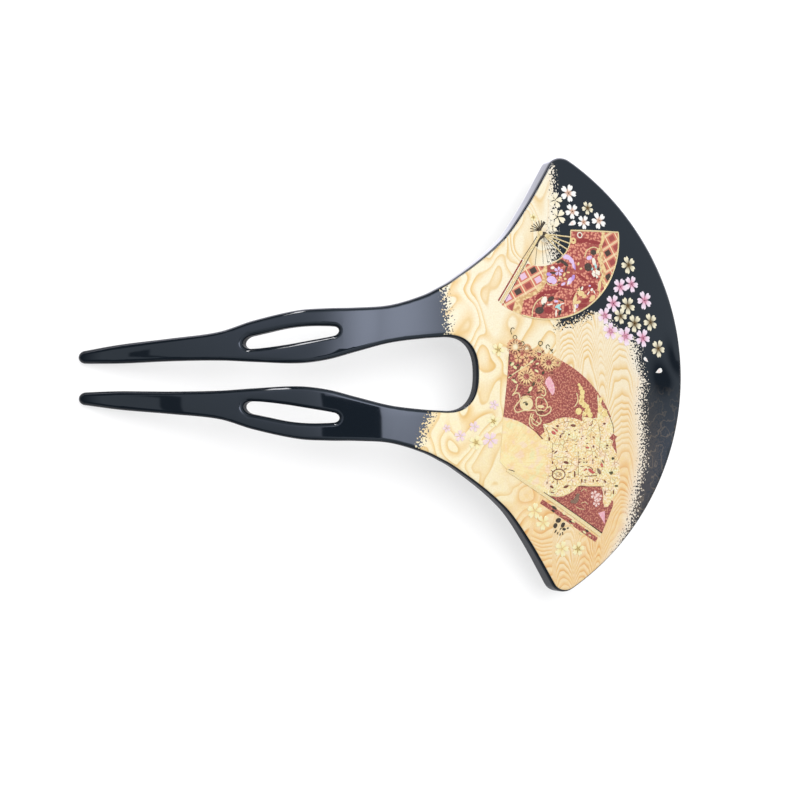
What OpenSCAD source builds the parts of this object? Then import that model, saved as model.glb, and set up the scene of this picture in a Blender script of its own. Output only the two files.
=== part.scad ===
// Fan-headed kanzashi: a two-legged hairpin moulded in one piece.
// Seen from above it lies along X, legs towards -X and head towards +X, on its leg tips and the middle of its rim.
// Outlines are drawn in plan, as a station s along X from the leg tips and a half width y, and then laid on an arch.

/* [Size] */
// Length in plan, from the leg tips to the middle of the rim
length = 130; // [120:1:140]
// Radius of the lengthwise arch, at the middle of the legs' thickness
arch_r = 110; // [95:1:180]
// Radius of the slight crown across the pin
crown_r = 400; // [250:10:900]
// Thickness of the head between its corners
head_thickness = 5; // [4.4:0.1:5.6]
// Thickness of the legs at their slots, and of the rim
thickness = 4; // [3:0.1:4.4]
// Thickness at the leg tips
tip_thickness = 2.4; // [1.8:0.1:3]
// Rounding of the long edges
edge_r = 1; // [0.5:0.1:1.2]

/* [Head] */
// Radius of the rim, about a centre on the middle line
rim_r = 54; // [52:0.5:56]
// Radius of the two outer corners of the head
corner_r = 3.4; // [2.8:0.2:5]
// Direction of the corners, seen from the centre of the rim
corner_angle = 57.8; // [56:0.2:59]
// Direction in which the concave side edge runs into the corner
side_angle = 59; // [56:1:62]

/* [Gap between the legs] */
// Station of the round end of the gap
gap_end = 82.8; // [82:0.1:84.5]
// Half the width of the gap at its end
gap_half = 7.7; // [7.6:0.1:7.8]
// Reach along the pin of the rounding that ends the gap
gap_reach = 6.3; // [5.5:0.1:7]

/* [Slots] */
// Edge break around the slots
slot_break = 0.5; // [0.2:0.1:0.8]

/* [Hidden] */

// Columns of the leg and side-edge table
STATION = 0;
OUTER = 1;
INNER = 2;
// Leg, neck and side edge: half width to the outer edge, and to the gap
rim_centre = length - rim_r;
corner_centre = [rim_centre + (rim_r - corner_r) * cos(corner_angle), (rim_r - corner_r) * sin(corner_angle)];
corner_start = corner_centre + corner_r * [-sin(side_angle), cos(side_angle)];
// The legs end at the neck, where the rounding starts
neck = gap_end - gap_reach;
leg_rows = [
    // s, outer, inner
    [0, 5.6, 3.1],
    [9, 6.9, 2.95],
    [20, 7.95, 3.2],
    [30, 9.1, 3.15],
    [37, 11.3, 2.75],
    [46, 13.3, 2.4],
    [52, 13.7, 3.1],
    [58, 13.8, 4.7],
    [65, 14.3, 6.5],
    [72, 16.4, 7.4],
    [neck, 18.66, gap_half],
];
side_rows = [
    // s, outer
    [72, 16.4],
    [78, 19.6],
    [88.5, 27.9],
    [94, 35],
    corner_start,
];
// Station of the highest point of the arch, which stands the thin leg tips level with the rim
crest = length / 2 + 0.4;
// Thickness along the pin
THICK = 1;
thickness_rows = [
    // s, thickness
    [0, tip_thickness],
    [14, (tip_thickness + 2 * thickness) / 3],
    [34, thickness],
    [60, thickness],
    [84, (2 * thickness + head_thickness) / 3],
    [96, head_thickness],
    [108, head_thickness],
    [length, thickness],
];
// Slot through each leg
CENTRE = 1;
HALF = 2;
slot_rows = [
    // s, middle line, half width
    [35, 6.55, 1.2],
    [39, 7.1, 1.5],
    [44, 7.95, 1.7],
    [48, 8.5, 1.55],
    [52, 8.85, 1.2],
    [54.5, 9.02, 0.85],
];
slot_start_r = 1.6;
slot_end_r = 1;

// Steps of the loft
tip_r = 1.7;
tip_angles = [18, 42, 66];
leg_steps = 22;
side_steps = 7;
corner_steps = 4;
rim_steps = 13;
edge_steps = 3;
across_steps = 8;
slot_steps = 10;

// Smooth curve through the rows of a table, read at station s
function row_at(rows, s, i = 0) = i < len(rows) - 2 && s > rows[i + 1][STATION] ? row_at(rows, s, i + 1) : i;
function row_slope(rows, i, column) =
    let(a = rows[max(i - 1, 0)], b = rows[min(i + 1, len(rows) - 1)])
    (b[column] - a[column]) / (b[STATION] - a[STATION]);
function read(rows, column, s) =
    let(
        i = row_at(rows, s),
        a = rows[i],
        b = rows[i + 1],
        w = b[STATION] - a[STATION],
        k = (s - a[STATION]) / w
    )
    a[column] * (1 + 2 * k) * pow(1 - k, 2)
    + b[column] * (3 - 2 * k) * pow(k, 2)
    + row_slope(rows, i, column) * w * k * pow(1 - k, 2)
    - row_slope(rows, i + 1, column) * w * pow(k, 2) * (1 - k);

// Lay a plan point [s, y] on the arch about the Y axis, at height h above the arch's own surface
function laid(p, h) =
    let(
        angle = asin((p[0] - crest) / arch_r),
        r = arch_r + h - p[1] * p[1] / (2 * crown_r)
    )
    [r * sin(angle), p[1], r * cos(angle)];

// Outer path: along the leg and the side edge, round the corner, along the rim to the middle line
function corner_point(a) = corner_centre + corner_r * [cos(a), sin(a)];
function rim_point(a) = [rim_centre + rim_r * cos(a), rim_r * sin(a)];
head_outer = concat(
    [for (i = [1:side_steps])
        let(s = neck + (corner_start[0] - neck) * i / side_steps)
        [s, read(side_rows, OUTER, s)]],
    [for (i = [1:corner_steps])
        corner_point(90 + side_angle + (corner_angle - 90 - side_angle) * i / corner_steps)],
    [for (i = [1:rim_steps]) rim_point(corner_angle * (1 - i / rim_steps))]
);
// Inner path of the head: a quarter of the rounding that ends the gap, a little squarer than an ellipse
squareness = 0.8;
function gap_point(a) = [neck + gap_reach * pow(cos(a), squareness), gap_half * pow(sin(a), squareness)];
// The corner of the head faces the rounding at this angle
gap_turn = 52;
side_count = side_steps + corner_steps;
head_inner = [
    for (i = [1:side_count + rim_steps])
        gap_point(i <= side_count
            ? 90 + (gap_turn - 90) * i / side_count
            : gap_turn * (1 - (i - side_count) / rim_steps))
];

// A section is [inner point, outer point, share of the full thickness]
function leg_section(s, round_off = 1) =
    let(
        out = read(leg_rows, OUTER, s),
        inn = read(leg_rows, INNER, s),
        mid = (out + inn) / 2,
        half = (out - inn) / 2 * round_off
    )
    [[s, mid - half], [s, mid + half], (1 + round_off) / 2];
tip_sections = [for (a = tip_angles) leg_section(tip_r * (1 - cos(a)), sin(a))];
leg_sections = [for (i = [0:leg_steps]) leg_section(tip_r + (neck - tip_r) * i / leg_steps)];
head_sections = [for (i = [0:len(head_outer) - 1]) [head_inner[i], head_outer[i], 1]];
half_sections = concat(tip_sections, leg_sections, head_sections);
other_half = [
    for (i = [len(half_sections) - 2:-1:0])
        let(c = half_sections[i])
        [[c[0][0], -c[0][1]], [c[1][0], -c[1][1]], c[2]]
];

// Outline of a section: a bar with rounded edges, from the inner point to the outer point
function quarter(a, h, r, from) = [
    for (i = [0:edge_steps])
        let(t = from + 90 * i / edge_steps)
        [a + r * cos(t), h + r * sin(t)]
];
function run(a, b, h) = [for (i = [1:across_steps - 1]) [a + (b - a) * i / across_steps, h]];
function bar(w, t) =
    let(r = min(edge_r, 0.45 * w, 0.45 * t), h = t / 2 - r)
    concat(
        quarter(r, -h, r, 180),
        run(r, w - r, -t / 2),
        quarter(w - r, -h, r, 270),
        quarter(w - r, h, r, 0),
        run(w - r, r, t / 2),
        quarter(r, h, r, 90)
    );
// Full thickness at station s; what is more than the legs' is added below, so the top runs on in one arch
function thick(s) = read(thickness_rows, THICK, s);
function ring(c) =
    let(w = norm(c[1] - c[0]), t = thick(c[0][0]) * c[2])
    [for (p = bar(w, t))
        let(q = c[0] + (c[1] - c[0]) * p[0] / w, here = thick(q[0]) * c[2])
        laid(q, p[1] * here / t - max(0, here - thickness) / 2)];
body_rings = [for (c = concat(half_sections, other_half)) ring(c)];
// The origin is under the middle of the pin, at the height of its lowest point
body_x = [for (r = body_rings, p = r) p[0]];
body_z = [for (r = body_rings, p = r) p[2]];
to_origin = [-(min(body_x) + max(body_x)) / 2, 0, -min(body_z)];

// Skin a list of rings of equal length, and close both ends
module loft(rings) {
    n = len(rings[0]);
    last = len(rings) - 1;
    sides = [
        for (i = [0:last - 1], j = [0:n - 1])
            let(a = i * n + j, b = i * n + (j + 1) % n)
            each [[a, b + n, b], [a, a + n, b + n]]
    ];
    start = [for (j = [1:n - 2]) [0, j, j + 1]];
    end = [for (j = [1:n - 2]) [last * n, last * n + j + 1, last * n + j]];
    polyhedron(points = [for (r = rings) each r], faces = concat(sides, start, end));
}

// Slot outline, grown by g: up one side, round the end, and back
function slot_half(s) =
    let(
        from = slot_rows[0][STATION],
        to = slot_rows[len(slot_rows) - 1][STATION],
        a = max(0, min(1, (s - from) / slot_start_r)),
        b = max(0, min(1, (to - s) / slot_end_r))
    )
    read(slot_rows, HALF, s) * sqrt(1 - pow(1 - a, 2)) * sqrt(1 - pow(1 - b, 2));
function slot_loop(g) =
    let(
        from = slot_rows[0][STATION],
        to = slot_rows[len(slot_rows) - 1][STATION],
        mid = (from + to) / 2,
        reach = (to - from) / 2,
        stations = [for (i = [0:slot_steps]) mid - reach * cos(180 * i / slot_steps)]
    )
    concat(
        [for (s = stations)
            [mid + (s - mid) * (1 + g / reach), read(slot_rows, CENTRE, s) + slot_half(s) + g * sign(slot_half(s))]],
        [for (i = [slot_steps - 1:-1:1])
            let(s = stations[i])
            [mid + (s - mid) * (1 + g / reach), read(slot_rows, CENTRE, s) - slot_half(s) - g]]
    );
module slot() {
    skin = thickness / 2;
    // height above the middle of the thickness, growth of the outline
    levels = [
        [skin + 1, slot_break],
        [skin, slot_break],
        [skin - slot_break, 0],
        [-skin + slot_break, 0],
        [-skin, slot_break],
        [-skin - 1, slot_break],
    ];
    loft([for (level = levels) [for (p = slot_loop(level[1])) laid(p, level[0])]]);
}

module hairpin() {
    color("#15171a")
        translate(to_origin)
            difference() {
                loft(body_rings);
                slot();
                mirror([0, 1, 0])
                    slot();
            }
}

hairpin();
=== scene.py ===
import math

import bpy
import numpy as np
from mathutils import Matrix, Vector


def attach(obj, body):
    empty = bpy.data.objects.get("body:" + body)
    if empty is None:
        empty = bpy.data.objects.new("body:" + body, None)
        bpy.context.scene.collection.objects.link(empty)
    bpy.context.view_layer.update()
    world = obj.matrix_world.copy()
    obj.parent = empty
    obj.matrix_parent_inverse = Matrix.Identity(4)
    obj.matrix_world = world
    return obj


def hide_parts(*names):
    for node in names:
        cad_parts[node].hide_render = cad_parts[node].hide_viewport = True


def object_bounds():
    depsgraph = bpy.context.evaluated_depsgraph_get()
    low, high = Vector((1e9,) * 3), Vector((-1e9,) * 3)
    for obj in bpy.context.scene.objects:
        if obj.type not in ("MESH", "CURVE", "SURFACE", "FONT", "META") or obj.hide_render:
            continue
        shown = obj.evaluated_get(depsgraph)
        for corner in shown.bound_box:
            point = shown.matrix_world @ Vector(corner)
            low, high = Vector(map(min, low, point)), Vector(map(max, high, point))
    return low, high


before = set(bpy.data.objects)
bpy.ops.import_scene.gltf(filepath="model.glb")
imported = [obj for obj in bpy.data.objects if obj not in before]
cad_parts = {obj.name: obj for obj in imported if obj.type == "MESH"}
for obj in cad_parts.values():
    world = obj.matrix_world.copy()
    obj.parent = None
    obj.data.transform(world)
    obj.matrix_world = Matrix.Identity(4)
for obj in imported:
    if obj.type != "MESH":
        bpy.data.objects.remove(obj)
cad_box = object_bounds()

# A piece is drawn flat, in millimetres: u runs along the arch from its crest to the rim, y across, h up
# from the middle of the legs' plate. lay() then bends it over the arch, in metres.
MM = 0.001
LENGTH = 130.0
CREST = LENGTH / 2 + 0.4
ARCH_R = 110.0
CROWN_R = 400.0
THICKNESS = 4.0
HEAD_THICKNESS = 5.0
TIP_THICKNESS = 2.4
EDGE_R = 0.9
TOP = THICKNESS / 2
# Thickness of the decoration, and the rounding of its pieces and of the shapes that are stamped
RELIEF = 0.24
THIN_EDGE = 0.04
STAMP_EDGE = 0.05
# Faces that meet at more than this keep a sharp edge
SHARP = math.radians(40)
# The arch's axis is under the crest, a little to the rim side of the middle of the box
AXIS_X = 0.213
# The box's highest points are on the legs, this far out from the middle line
HIGHEST_Y = 7.6
AXIS_Z = cad_box[1].z / MM - ARCH_R - TOP + HIGHEST_Y ** 2 / (2 * CROWN_R)

# Outline of the pin in plan, from the leg tips
RIM_R = 54.0
RIM_CENTRE = LENGTH - RIM_R
CORNER_R = 3.4
CORNER_ANGLE = math.radians(57.8)
SIDE_ANGLE = math.radians(59)
CORNER = Vector((math.cos(CORNER_ANGLE), math.sin(CORNER_ANGLE))) * (RIM_R - CORNER_R)
CORNER += Vector((RIM_CENTRE, 0))
CORNER_START = CORNER + CORNER_R * Vector((-math.sin(SIDE_ANGLE), math.cos(SIDE_ANGLE)))
GAP_END = 82.8
GAP_HALF = 7.7
GAP_REACH = 6.3
# 1 would end the gap in an ellipse, and less is squarer
GAP_SQUARENESS = 0.8
NECK = GAP_END - GAP_REACH
TIP_R = 1.7
# Steps of the outline: along it, and in radians round the gap's end, the leg tips and the slots
PITCH = 0.7
GAP_TURN = 0.08
TIP_TURN = 0.2
SLOT_TURN = 0.1
# Where the body is cut, so that it can follow the arch and the crown
BODY_CUTS = range(-70, 71, 2)
BODY_CUTS_ACROSS = range(-45, 46, 6)
# Distance between the cuts of a piece of the decoration, along the pin and across
PIECE_CUTS = (2, 3)
# station, outer half width
OUTER_EDGE = [
    (0, 5.6), (9, 6.9), (20, 7.95), (30, 9.1), (37, 11.3), (46, 13.3), (52, 13.7), (58, 13.8), (65, 14.3),
    (72, 16.4), (NECK, 18.66),
]
SIDE_EDGE = [(72, 16.4), (78, 19.6), (88.5, 27.9), (94, 35), tuple(CORNER_START)]
# station, inner half width
INNER_EDGE = [
    (0, 3.1), (9, 2.95), (20, 3.2), (30, 3.15), (37, 2.75), (46, 2.4), (52, 3.1), (58, 4.7), (65, 6.5),
    (72, 7.4), (NECK, GAP_HALF),
]
# station, middle line of the slot
SLOT_MIDDLE = [(35, 6.55), (39, 7.1), (44, 7.95), (48, 8.5), (52, 8.85), (54.5, 9.02)]
# station, half width of the slot
SLOT_HALF = [(35, 1.2), (39, 1.5), (44, 1.7), (48, 1.55), (52, 1.2), (54.5, 0.85)]
SLOT_START_R = 1.6
SLOT_END_R = 1.0
# arc length from the crest, thickness
THICKNESS_ALONG = [
    (-70, 1.9), (-68.2, TIP_THICKNESS), (-54, 2.93), (-32.5, THICKNESS), (-5.4, THICKNESS),
    (18.7, (2 * THICKNESS + HEAD_THICKNESS) / 3), (31, HEAD_THICKNESS), (43.7, HEAD_THICKNESS),
    (69, THICKNESS),
]


def read(rows, s):
    """The smooth curve through the rows of a table, at s."""
    i = 0
    while i < len(rows) - 2 and s > rows[i + 1][0]:
        i += 1

    def slope(k):
        before = rows[max(k - 1, 0)]
        after = rows[min(k + 1, len(rows) - 1)]
        return (after[1] - before[1]) / (after[0] - before[0])

    width = rows[i + 1][0] - rows[i][0]
    k = (s - rows[i][0]) / width
    return (rows[i][1] * (1 + 2 * k) * (1 - k) ** 2 + rows[i + 1][1] * (3 - 2 * k) * k ** 2
            + slope(i) * width * k * (1 - k) ** 2 - slope(i + 1) * width * k ** 2 * (1 - k))


def steps(start, end, pitch=PITCH):
    """Evenly spaced numbers from start up to, but without, end."""
    count = max(1, round(abs(end - start) / pitch))
    return [start + (end - start) * i / count for i in range(count)]


def arc(centre, radius, start, end, pitch=PITCH):
    return [(centre[0] + radius * math.cos(a), centre[1] + radius * math.sin(a))
            for a in steps(start, end, pitch / radius)]


def arc_between(centre, radius, turns, pitch=PITCH):
    """An arc between two directions in degrees."""
    return arc(centre, radius, math.radians(turns[0]), math.radians(turns[1]), pitch)


def along(station):
    """Arc length from the crest, for a station in plan."""
    return ARCH_R * math.asin((station - CREST) / ARCH_R)


def half_outline():
    """Half of the pin's outline, from the end of the gap round the leg to the middle of the rim."""
    tip_middle = (read(OUTER_EDGE, TIP_R) + read(INNER_EDGE, TIP_R)) / 2
    tip_half = (read(OUTER_EDGE, TIP_R) - read(INNER_EDGE, TIP_R)) / 2
    points = [(NECK + GAP_REACH * math.cos(a) ** GAP_SQUARENESS, GAP_HALF * math.sin(a) ** GAP_SQUARENESS)
              for a in steps(0, math.pi / 2, GAP_TURN)]
    points += [(s, read(INNER_EDGE, s)) for s in steps(NECK, TIP_R)]
    points += [(TIP_R * (1 - math.cos(a)), tip_middle - tip_half * math.sin(a))
               for a in steps(math.pi / 2, -math.pi / 2, TIP_TURN)]
    points += [(s, read(OUTER_EDGE, s)) for s in steps(TIP_R, NECK)]
    points += [(s, read(SIDE_EDGE, s)) for s in steps(NECK, CORNER_START[0])]
    points += arc(CORNER, CORNER_R, math.pi / 2 + SIDE_ANGLE, CORNER_ANGLE)
    points += arc((RIM_CENTRE, 0), RIM_R, CORNER_ANGLE, 0)
    return points + [(LENGTH, 0)]


def slot_outline():
    """Outline of one slot, along one side and back along the other."""
    start, end = SLOT_HALF[0][0], SLOT_HALF[-1][0]
    points = []
    for turn in steps(0, 2 * math.pi, SLOT_TURN):
        s = (start + end) / 2 - (end - start) / 2 * math.cos(turn)
        blunt = math.sqrt(1 - (1 - min(1, (s - start) / SLOT_START_R)) ** 2)
        blunt *= math.sqrt(1 - (1 - min(1, (end - s) / SLOT_END_R)) ** 2)
        side = 1 if turn < math.pi else -1
        points.append((s, read(SLOT_MIDDLE, s) + side * blunt * read(SLOT_HALF, s)))
    return points


def select_only(obj):
    bpy.ops.object.select_all(action="DESELECT")
    obj.select_set(True)
    bpy.context.view_layer.objects.active = obj


def placed(name, data):
    """A new object in the scene."""
    obj = bpy.data.objects.new(name, data)
    bpy.context.scene.collection.objects.link(obj)
    return obj


def mesh_of(name, curve):
    """A new object with the mesh of a curve."""
    select_only(placed(name, curve))
    bpy.ops.object.convert(target="MESH")
    return bpy.context.object


def mirrored(points):
    """The same outline on the other side of the middle line."""
    return [(s, -y) for s, y in points]


def flat_plate(name, loops, thickness, rounding):
    """A flat plate with rounded edges: the first loop is its outline, the others are holes."""
    curve = bpy.data.curves.new(name, "CURVE")
    curve.dimensions = "2D"
    curve.fill_mode = "BOTH"
    curve.extrude = thickness / 2 - rounding
    curve.bevel_depth = rounding
    curve.bevel_resolution = 4
    curve.offset = -rounding
    for loop in loops:
        spline = curve.splines.new("POLY")
        spline.points.add(len(loop) - 1)
        for point, (u, y) in zip(spline.points, loop):
            point.co = (u, y, 0, 1)
        spline.use_cyclic_u = True
    plate = mesh_of(name, curve)
    bpy.ops.object.mode_set(mode="EDIT")
    bpy.ops.mesh.select_all(action="SELECT")
    bpy.ops.mesh.remove_doubles(threshold=0.001)
    bpy.ops.mesh.dissolve_limited(angle_limit=math.radians(0.5))
    bpy.ops.mesh.normals_make_consistent(inside=False)
    bpy.ops.object.mode_set(mode="OBJECT")
    return plate


def cut_across(obj, direction, places):
    """Cut a flat mesh along parallel lines, so that it can follow the arch."""
    select_only(obj)
    bpy.ops.object.mode_set(mode="EDIT")
    for place in places:
        bpy.ops.mesh.select_all(action="SELECT")
        bpy.ops.mesh.bisect(plane_co=Vector(direction) * place, plane_no=direction)
    bpy.ops.object.mode_set(mode="OBJECT")


def smooth(obj):
    """Smooth shading in which a large face keeps its own direction up to its rounded edge."""
    select_only(obj)
    bpy.ops.object.shade_smooth_by_angle(angle=SHARP)
    modifier = obj.modifiers.new("weighted", "WEIGHTED_NORMAL")
    modifier.keep_sharp = True
    bpy.ops.object.modifier_apply(modifier=modifier.name)


def lay(obj, lift=0.0, thins=False):
    """Bend a flat piece over the arch with its normals, and note its flat place for its material."""
    mesh = obj.data
    flat = np.empty(len(mesh.vertices) * 3)
    mesh.vertices.foreach_get("co", flat)
    flat = flat.reshape(-1, 3)
    flat[:, 2] += lift
    normals = np.empty(len(mesh.loops) * 3, np.float32)
    mesh.corner_normals.foreach_get("vector", normals)
    normals = normals.reshape(-1, 3)
    corner = np.empty(len(mesh.loops), np.int32)
    mesh.loops.foreach_get("vertex_index", corner)
    place = mesh.attributes.new("plan", "FLOAT_VECTOR", "POINT")
    place.data.foreach_set("vector", flat.astype(np.float32).ravel())
    u, y, h = flat.T
    if thins:
        thick = np.array([read(THICKNESS_ALONG, value) for value in u])
        h = h * thick / THICKNESS - np.maximum(0, thick - THICKNESS) / 2
    angle = u / ARCH_R
    radius = ARCH_R + h - y ** 2 / (2 * CROWN_R)
    bent = np.stack([radius * np.sin(angle) + AXIS_X, y, radius * np.cos(angle) + AXIS_Z], 1) * MM
    mesh.vertices.foreach_set("co", bent.astype(np.float32).ravel())
    sine, cosine = np.sin(angle)[corner], np.cos(angle)[corner]
    lean = -(y / CROWN_R)[corner]
    along_u, across, up = normals.T
    across, up = across - up * lean, up + across * lean
    turned = np.stack([along_u * cosine + up * sine, across, up * cosine - along_u * sine], 1)
    turned /= np.linalg.norm(turned, axis=1)[:, None]
    mesh.normals_split_custom_set(turned.tolist())
    mesh.update()


def joined(name, parts):
    """Make one mesh of several."""
    bpy.ops.object.select_all(action="DESELECT")
    for part in parts:
        part.select_set(True)
    bpy.context.view_layer.objects.active = parts[0]
    bpy.ops.object.join()
    piece = bpy.context.object
    piece.name = name
    return piece


def drawn(name, strokes, width, flatness=1.0, soft=True):
    """Raised lines: each stroke is a list of places, and closed where it comes back to its start."""
    curve = bpy.data.curves.new(name, "CURVE")
    curve.dimensions = "3D"
    curve.resolution_u = 6
    curve.bevel_depth = width / 2
    curve.bevel_resolution = 1
    curve.use_fill_caps = True
    for stroke in strokes:
        closed = stroke[0] == stroke[-1]
        places = stroke[:-1] if closed else stroke
        spline = curve.splines.new("BEZIER")
        spline.bezier_points.add(len(places) - 1)
        for point, place in zip(spline.bezier_points, places):
            point.co = (*place, 0)
            point.handle_left_type = "AUTO" if soft else "VECTOR"
            point.handle_right_type = "AUTO" if soft else "VECTOR"
        spline.use_cyclic_u = closed
    line = mesh_of(name, curve)
    line.data.transform(Matrix.Diagonal((1, 1, flatness, 1)))
    return line


def note_own_place(shape):
    """Let a shape's points remember where they are in its own drawing, for its material."""
    own = shape.data.attributes.new("own", "FLOAT_VECTOR", "POINT")
    own.data.foreach_set("vector", [value for vertex in shape.data.vertices for value in vertex.co])
    return shape


def stamped(name, rows):
    """Copies of a small shape, one for each row of u, y, turn in degrees, length and any other width."""
    shape = bpy.data.objects[name]
    copies = []
    for u, y, turn, length, *width in rows:
        place = Matrix.Translation((u, y, 0)) @ Matrix.Rotation(math.radians(turn), 4, "Z")
        copy = placed(name, shape.data.copy())
        copy.data.transform(place @ Matrix.Diagonal((length, width[0] if width else length, 1, 1)))
        copies.append(copy)
    return copies


def laid(name, parts, finish, lift=0.0):
    """Join flat parts into one piece of the decoration, and lay it on the pin, or a little above it."""
    piece = joined(name, parts)
    smooth(piece)
    lay(piece, TOP + lift)
    piece.data.materials.clear()
    piece.data.materials.append(finish)
    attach(piece, "root")


class Field:
    """A number that varies over a surface: a node's socket, with arithmetic."""

    def __init__(self, finish, socket):
        self.finish = finish
        self.socket = socket

    def math(self, operation, *others, swap=False):
        values = (others[0], self) if swap else (self, *others)
        return self.finish.node("ShaderNodeMath", {"operation": operation}, dict(enumerate(values)))

    def __add__(self, other):
        return self.math("ADD", other)

    __radd__ = __add__

    def __sub__(self, other):
        return self.math("SUBTRACT", other)

    def __rsub__(self, other):
        return self.math("SUBTRACT", other, swap=True)

    def __mul__(self, other):
        return self.math("MULTIPLY", other)

    __rmul__ = __mul__

    def __truediv__(self, other):
        return self.math("DIVIDE", other)

    def __pow__(self, other):
        return self.math("POWER", other)

    def clamp(self):
        return self.finish.node("ShaderNodeClamp", {}, {0: self})

    def __abs__(self):
        return self.math("ABSOLUTE")

    def above(self, edge, width):
        """0 below an edge and 1 above it, with a soft step of some width."""
        return ((self - edge) / width + 0.5).clamp()

    def below(self, edge, width):
        return ((edge - self) / width + 0.5).clamp()

    def fraction(self):
        return self.math("FRACT")

    def floor(self):
        return self.math("FLOOR")

    def turn_from(self, other):
        """Direction in degrees of the point (other, self)."""
        return self.math("ARCTAN2", other) * (180 / math.pi)

    def lower(self, other):
        return self.math("MINIMUM", other)

    def higher(self, other):
        return self.math("MAXIMUM", other)


class Finish:
    """A material, or the world, and the nodes that it is made of."""

    def __init__(self, owner):
        owner.use_nodes = True
        self.owner = owner
        self.tree = owner.node_tree
        self.tree.nodes.clear()

    def node(self, kind, settings, inputs, output=0):
        """A node of any kind, its settings first and then the values or links of its sockets."""
        node = self.tree.nodes.new(kind)
        for name, value in settings.items():
            if name == "curve":
                self.set_curve(node.mapping, value)
            else:
                setattr(node, name, value)
        for name, value in inputs.items():
            if isinstance(value, Field):
                self.tree.links.new(value.socket, node.inputs[name])
            else:
                node.inputs[name].default_value = value
        return Field(self, node.outputs[output]) if node.outputs else None

    @staticmethod
    def set_curve(mapping, points):
        curve = mapping.curves[0]
        while len(curve.points) < len(points):
            curve.points.new(0.5, 0.5)
        for point, (x, y) in zip(curve.points, points):
            point.location = (x, y)
            point.handle_type = "VECTOR"
        mapping.update()

    def split(self, vector):
        node = self.tree.nodes.new("ShaderNodeSeparateXYZ")
        self.tree.links.new(vector.socket, node.inputs[0])
        return [Field(self, socket) for socket in node.outputs]

    def join(self, x, y, z=0.0):
        return self.node("ShaderNodeCombineXYZ", {}, {0: x, 1: y, 2: z})

    def stored(self, name):
        return self.split(self.node("ShaderNodeAttribute", {"attribute_name": name}, {}, "Vector"))

    def plan(self):
        """The flat place of a point of a laid piece: u, y and h, in millimetres."""
        return self.stored("plan")

    def noise(self, vector, scale, detail=1.0, rough=0.5, distortion=0.0):
        return self.node("ShaderNodeTexNoise", {}, {"Vector": vector, "Scale": scale, "Detail": detail,
                                                    "Roughness": rough, "Distortion": distortion}, "Fac")

    def drift(self, u, y, seed, detail=1.0, rough=0.5, distortion=0.0):
        """Slow noise over the pin, where u and y are scaled already."""
        return self.noise(self.join(u, y, seed), 1.0, detail, rough, distortion)

    def mix(self, share, first, second):
        """From the first colour to the second, by a share from 0 to 1."""
        inputs = {0: share, 6: first if isinstance(first, Field) else (*first, 1),
                  7: second if isinstance(second, Field) else (*second, 1)}
        return self.node("ShaderNodeMix", {"data_type": "RGBA"}, inputs, 2)

    def through(self, value, rows, span=None):
        """Read a table of [place, value] along a field, over its own places or another span."""
        low, high = span or (rows[0][0], rows[-1][0])
        reach = max(amount for _, amount in rows)
        curve = [((place - low) / (high - low), amount / reach) for place, amount in rows]
        place = (value - low) / (high - low)
        return self.node("ShaderNodeFloatCurve", {"curve": curve}, {"Value": place.clamp()}) * reach

    def surface(self, **inputs):
        """The finish's shader: constants and fields by the name of the socket."""
        shader = self.node("ShaderNodeBsdfPrincipled", {},
                           {name.replace("_", " "): value for name, value in inputs.items()}, "BSDF")
        self.node("ShaderNodeOutputMaterial", {}, {"Surface": shader})
        return self.owner


def finish(name):
    return Finish(bpy.data.materials.new(name))


# How bright a white sheet on the pin would show, where 1 is white
LIGHT = 1.6


def seen(red, green, blue):
    """Base colour of what shows as this colour, of 255, in the studio's light."""
    parts = [value / 255 for value in (red, green, blue)]
    linear = [part / 12.92 if part < 0.04 else ((part + 0.055) / 1.055) ** 2.4 for part in parts]
    return tuple(part / LIGHT for part in linear)


# Limits of the gold ground, as rows of y, u
GROUND_RIGHT = [
    (-50, 45), (-43, 48.5), (-36.2, 52.2), (-32.2, 54.4), (-25.6, 55.8), (-19.1, 57.2), (-12, 57.1),
    (-6.3, 56.5), (-1.6, 57.3), (2.3, 55.7), (6.2, 55.2), (8.3, 53.1), (10.3, 48.4), (13.1, 46.9),
    (14.2, 35.6), (30.4, 35.1), (35.4, 36.3), (39.3, 37), (42.1, 36.5), (44.2, 35.4), (50, 30),
]
GROUND_LEFT = [
    (-20, 3.5), (-15.5, 5.1), (-13.7, 5.9), (-10.6, 6.7), (-7.9, 8.2), (0, 11.5), (7.8, 11.6), (11.1, 11.4),
    (15.3, 11.1), (18.4, 10.5), (22, 9.5),
]
ACROSS_HEAD = (-50, 50)
# The ground ends this far down the rounded edge
GROUND_DEPTH = 0.14
# Upper fan: its pivot, and the two arcs of its leaf
FAN_PIVOT = (32.1, 29.7)
FAN_INNER = (31.6, 30.4)
FAN_INNER_R = 7.75
FAN_INNER_TURNS = (0.7, -116)
FAN_OUTER = (32.85, 30.07)
FAN_OUTER_R = 18.6
FAN_OUTER_TURNS = (-122.4, 1.6)
# The ground keeps this far off the fan's rim, but runs on under the fan up to this u
FAN_CLEARANCE = 1.7
UNDER_FAN = 35.6
# Widths of the ground's powdered edges: towards the rim, towards the legs, round the fan, and of the dust
RIM_POWDER = 5.0
LEG_POWDER = 3.6
FAN_POWDER = 3.2
DUST = 8.0
LACQUER = (0.0046, 0.0076, 0.0116)
BRICK = seen(168, 78, 72)
SALMON = seen(234, 156, 130)
CREAM = seen(252, 232, 185)
DARK = seen(72, 56, 44)
PINK = seen(238, 200, 222)
# Roughness of enamel
ENAMEL = 0.35


def speckled(distance, width, grain):
    """A mask that is 1 well inside an edge and breaks up into grains across it."""
    cover = (distance / width + 0.5).clamp()
    return ((grain + cover * 1.2 - 1.1) * 14 + 0.5).clamp()


def from_point(u, y, point):
    """Distance of a place from a point."""
    across, up = u - point[0], y - point[1]
    return (across * across + up * up) ** 0.5


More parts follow.
